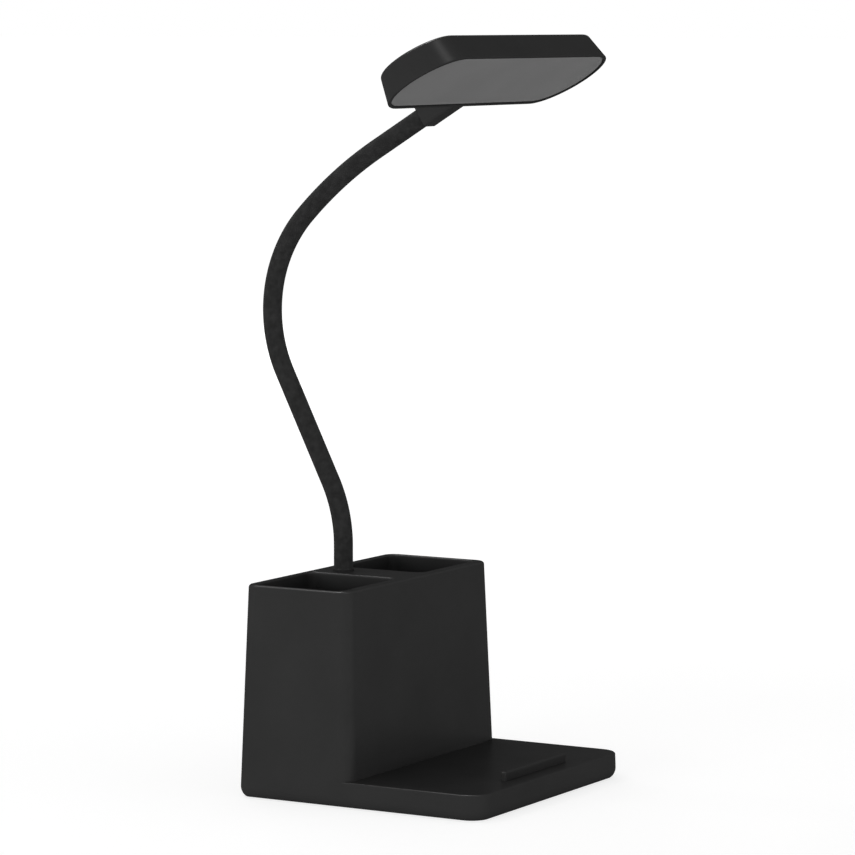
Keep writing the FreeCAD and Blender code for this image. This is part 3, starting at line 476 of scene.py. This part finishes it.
def led_phosphor():
    """Yellow phosphor gel with a slight orange-peel skin."""
    material, tree, shader, place = begin("led_phosphor")
    skin = noise(tree, place, PHOSPHOR_WAVE)
    tree.links.new(between(tree, spread(tree, skin, 0, 1), *PHOSPHOR), shader.inputs["Base Color"])
    tree.links.new(spread(tree, skin, *PHOSPHOR_ROUGHNESS), shader.inputs["Roughness"])
    bumps(tree, [(skin, PHOSPHOR_DEPTH)], shader)
    return material


# ---------------------------------------------------------------- finishes of the pieces

# Material slot: name, darkest colour, lightest colour and roughness, then what differs from the usual.
MOULDINGS = {
    "housing_plastic": ("textured_black_housing", grey(0.0225), grey(0.026), 0.9, {}),
    "cover_plastic": ("textured_black_cover", grey(0.021), grey(0.025), 0.62, {}),
    "head_plastic": ("textured_black_head", grey(0.0225), grey(0.026), 0.9, {"turn": HEAD_TURN}),
    "bracket_plastic": ("textured_black_bracket", grey(0.0225), grey(0.026), 0.9, {"turn": HEAD_TURN}),
    "button_plastic": ("smooth_black_button", grey(0.015), grey(0.018), 0.32, {"depth": POLISHED_DEPTH}),
    "black_plastic": ("glossy_black_insert", grey(0.012), grey(0.016), 0.3, {"depth": POLISHED_DEPTH}),
    "white_plastic": ("matt_white_plastic", grey(0.74), grey(0.8), 0.5, {}),
    "cell_wrap": ("blue_cell_wrap", (0.02, 0.10, 0.26), (0.03, 0.13, 0.32), 0.3, {"depth": SMOOTH_DEPTH}),
    "ferrule_metal": ("black_painted_ferrule", grey(0.016), grey(0.02), 0.7, {"depth": SMOOTH_DEPTH}),
}
RUBBERS = {
    "neck_sleeve": ("black_neck_sleeve", grey(0.019), grey(0.030), 0.9, {"patch": SLEEVE_PATCH}),
    "foot_rubber": ("black_foot_rubber", grey(0.022), grey(0.028), 0.8, {}),
}
METALS = {
    "screw_steel": ("zinc_plated_steel", grey(0.5), grey(0.6), 0.34, {}),
    "socket_steel": ("nickel_plated_socket", grey(0.52), grey(0.6), 0.3, {}),
    "weight_steel": ("rolled_weight_steel", grey(0.28), grey(0.36), 0.5, {"wave": ROLLED_WAVE}),
    "led_aluminium": ("board_aluminium", grey(0.72), grey(0.8), 0.4, {}),
}


def make_materials():
    """Every finish, by the record's material slot."""
    made = {
        "circuit_board": circuit_lacquer(),
        "led_phosphor": led_phosphor(),
        "diffuser_plastic": frosted_sheet(),
    }
    for make, finishes in ((moulded_plastic, MOULDINGS), (rubber, RUBBERS), (brushed_metal, METALS)):
        for slot_name, (name, dark, light, rough, special) in finishes.items():
            made[slot_name] = make(name, dark, light, rough, **special)
    return made


def finish_cad_nodes(materials):
    """Gives every node of the frame the finish of its slot, and the contact tongue its own."""
    own = {"socket_tongue": contact_tongue()}
    for part in frame["record"]["subparts"]:
        mesh = frame["nodes"][part["node"]].data
        mesh.materials.clear()
        mesh.materials.append(own.get(part["node"], materials[part["material_slot"]]))


# ---------------------------------------------------------------- gooseneck sleeve

NECK_RADIUS = 4.35 * MM
# Where the neck's line leaves the deck: y and z.
NECK_START = (33.5 * MM, 95.0 * MM)
# From the deck up, in millimetres: a run is (length, 0), an arc (radius, turn in degrees, rearwards above 0).
NECK_RUNS = ((11.5, 0.0), (65.0, 26.5), (54.0, 0.0), (63.0, -70.2), (186.0, -15.0), (28.8, 0.0))
# No joint is nearer to an end of the neck than this.
STIFF_END = 15.0 * MM
# The sleeve starts this far above the deck, and runs this far past the neck's end into the bracket.
SLEEVE_START = 1.0 * MM
SLEEVE_END = 5.0 * MM
SLEEVE_STEP = 0.8 * MM
SLEEVE_SIDES = 56
SMOOTH_ANGLE = math.radians(50)


def run_length(size, turn):
    """Length of a run, or of an arc of the given radius and turn."""
    return size * MM * abs(math.radians(turn)) if turn else size * MM


def neck_sections():
    """The neck's runs and arcs as rows of start distance, start y, start z, start heading and curvature."""
    rows, distance, (y, z), heading = [], 0.0, NECK_START, 0.0
    for size, turn in NECK_RUNS:
        radians = math.radians(turn)
        length = run_length(size, turn)
        curvature = radians / length
        rows.append((distance, y, z, heading, curvature))
        if turn:
            y += (math.cos(heading) - math.cos(heading + radians)) / curvature
            z += (math.sin(heading + radians) - math.sin(heading)) / curvature
        else:
            y, z = y + length * math.sin(heading), z + length * math.cos(heading)
        distance, heading = distance + length, heading + radians
    return np.array(rows)


def neck_line(distances):
    """Points and headings of the neck's centre line.

    On an arc the heading grows evenly, h = h0 + k s, so that y = y0 + (cos h0 - cos h) / k and
    z = z0 + (sin h - sin h0) / k; on a run the point moves straight along the heading."""
    rows = neck_sections()
    start, y, z, first, k = rows[np.searchsorted(rows[:, 0], distances, side="right") - 1].T
    s = distances - start
    heading = first + k * s
    safe = np.where(k == 0, 1, k)
    y = y + np.where(k == 0, s * np.sin(first), (np.cos(first) - np.cos(heading)) / safe)
    z = z + np.where(k == 0, s * np.cos(first), (np.sin(heading) - np.sin(first)) / safe)
    return np.stack([0 * y, y, z], -1), heading


def closed_surface(name, rings):
    """Mesh from rows of rings; each end is closed by a fan to the middle of its last ring."""
    rows, sides = rings.shape[:2]
    middles = rings[[0, -1]].mean(1)
    points = np.concatenate([rings.reshape(-1, 3), middles])
    i, j = np.meshgrid(np.arange(rows - 1), np.arange(sides), indexing="ij")
    here, there = i * sides + j, i * sides + (j + 1) % sides
    quads = np.stack([here, there, there + sides, here + sides], -1).reshape(-1, 4)
    around = np.arange(sides)
    onward = (around + 1) % sides
    last = (rows - 1) * sides
    low = np.stack([onward, around, np.full(sides, rows * sides)], -1)
    high = np.stack([last + around, last + onward, np.full(sides, rows * sides + 1)], -1)
    mesh = bpy.data.meshes.new(name)
    mesh.from_pydata(points.tolist(), [], quads.tolist() + low.tolist() + high.tolist())
    mesh.shade_smooth()
    mesh.set_sharp_from_angle(angle=SMOOTH_ANGLE)
    return mesh


def add_piece(name, mesh, slot_name, materials):
    """A visible piece with the finish of its material slot."""
    mesh.materials.append(materials[slot_name])
    piece = bpy.data.objects.new(name, mesh)
    bpy.context.scene.collection.objects.link(piece)
    return piece


def sleeve_mesh(name, low, high):
    """Round tube along the neck's centre line: c + r (cos t X - sin t N), N square to the line and to X."""
    steps = max(2, round((high - low) / SLEEVE_STEP))
    centres, heading = neck_line(np.linspace(low, high, steps + 1))
    across = np.array([1.0, 0.0, 0.0])
    normal = np.stack([0 * heading, np.cos(heading), -np.sin(heading)], -1)
    turn = np.linspace(0, FULL_TURN, SLEEVE_SIDES, endpoint=False)[None, :, None]
    rings = centres[:, None] + NECK_RADIUS * (np.cos(turn) * across - np.sin(turn) * normal[:, None])
    return closed_surface(name, rings)


def links_of(number, count):
    """The rigid links that a length of sleeve stands for: its own, and the last one for the last length."""
    return [f"neck_link_{n}" for n in ((number, number + 1) if number == count else (number,))]


def make_sleeve(materials):
    """The neck's sleeve as one length for each joint, which is centred on that joint and runs from the middle of a
    link to the middle of the next, with the links it stands for hidden; the first and the last length also cover
    the neck's stiff ends."""
    joints = [joint for joint in frame["joints"] if joint["name"].startswith("neck_")]
    neck_length = sum(run_length(size, turn) for size, turn in NECK_RUNS)
    bends = np.linspace(SLEEVE_START + STIFF_END, neck_length - STIFF_END, len(joints))
    half = (bends[1] - bends[0]) / 2
    lows = np.concatenate([[SLEEVE_START], bends[1:] - half])
    highs = np.concatenate([bends[:-1] + half, [neck_length + SLEEVE_END]])
    for number, (joint, bend, low, high) in enumerate(zip(joints, bends, lows, highs), 1):
        name = f"neck_sleeve_{number}"
        piece = add_piece(name, sleeve_mesh(name, low, high), "neck_sleeve", materials)
        reach = min(half, bend - low, high - bend)
        ends, _ = neck_line(np.array([bend - reach, bend + reach]))
        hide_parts(*links_of(number, len(joints)))
        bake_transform(piece)


# ---------------------------------------------------------------- the lamp

bpy.context.scene.view_settings.view_transform = "Standard"
make_camera()
make_world()
make_floor()
make_lamps()
materials = make_materials()
finish_cad_nodes(materials)
make_sleeve(materials)
